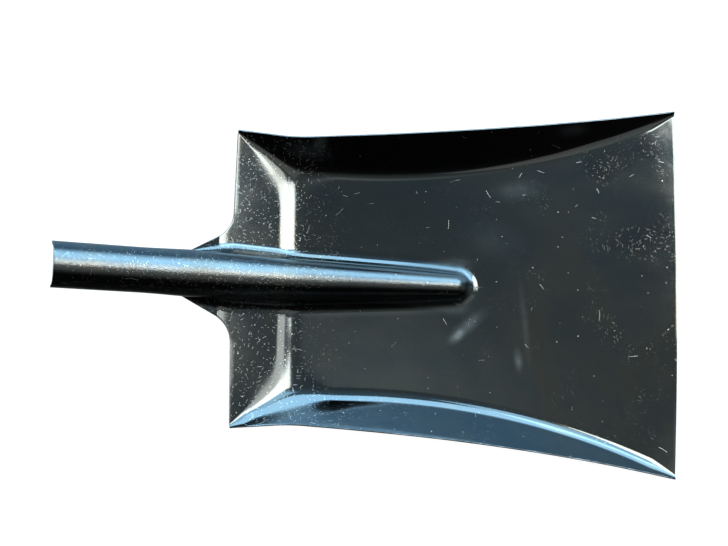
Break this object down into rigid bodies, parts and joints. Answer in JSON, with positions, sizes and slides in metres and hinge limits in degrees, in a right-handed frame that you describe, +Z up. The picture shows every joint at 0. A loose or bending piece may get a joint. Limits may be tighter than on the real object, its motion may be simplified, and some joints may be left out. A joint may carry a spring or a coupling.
{
  "type": "grain scoop shovel head",
  "caption": "Flat-floored scoop shovel head pressed from one steel sheet, with upturned sides, a tapering rib and a rolled, stitch-welded socket for a wooden handle.",
  "frame": {"origin": "under the middle of the overall length, on the centre plane, at the surface the head lies on", "axes": "+X from the socket's mouth to the lip, +Y across to the user's left when the head is pushed forward, +Z up out of the open side of the dish"},
  "size_m": [0.5626, 0.3446, 0.1136],
  "materials": {
    "lacquered_steel": "dark mill-scale steel under a glossy clear lacquer, with fine scratches and dust",
    "weld_metal": "as-laid weld bead under the same clear lacquer"
  },
  "bodies": {
    "root": {"scoop_pressing": "lacquered_steel", "seam_weld_1": "weld_metal", "seam_weld_2": "weld_metal", "seam_weld_3": "weld_metal"}
  },
  "joints": []
}
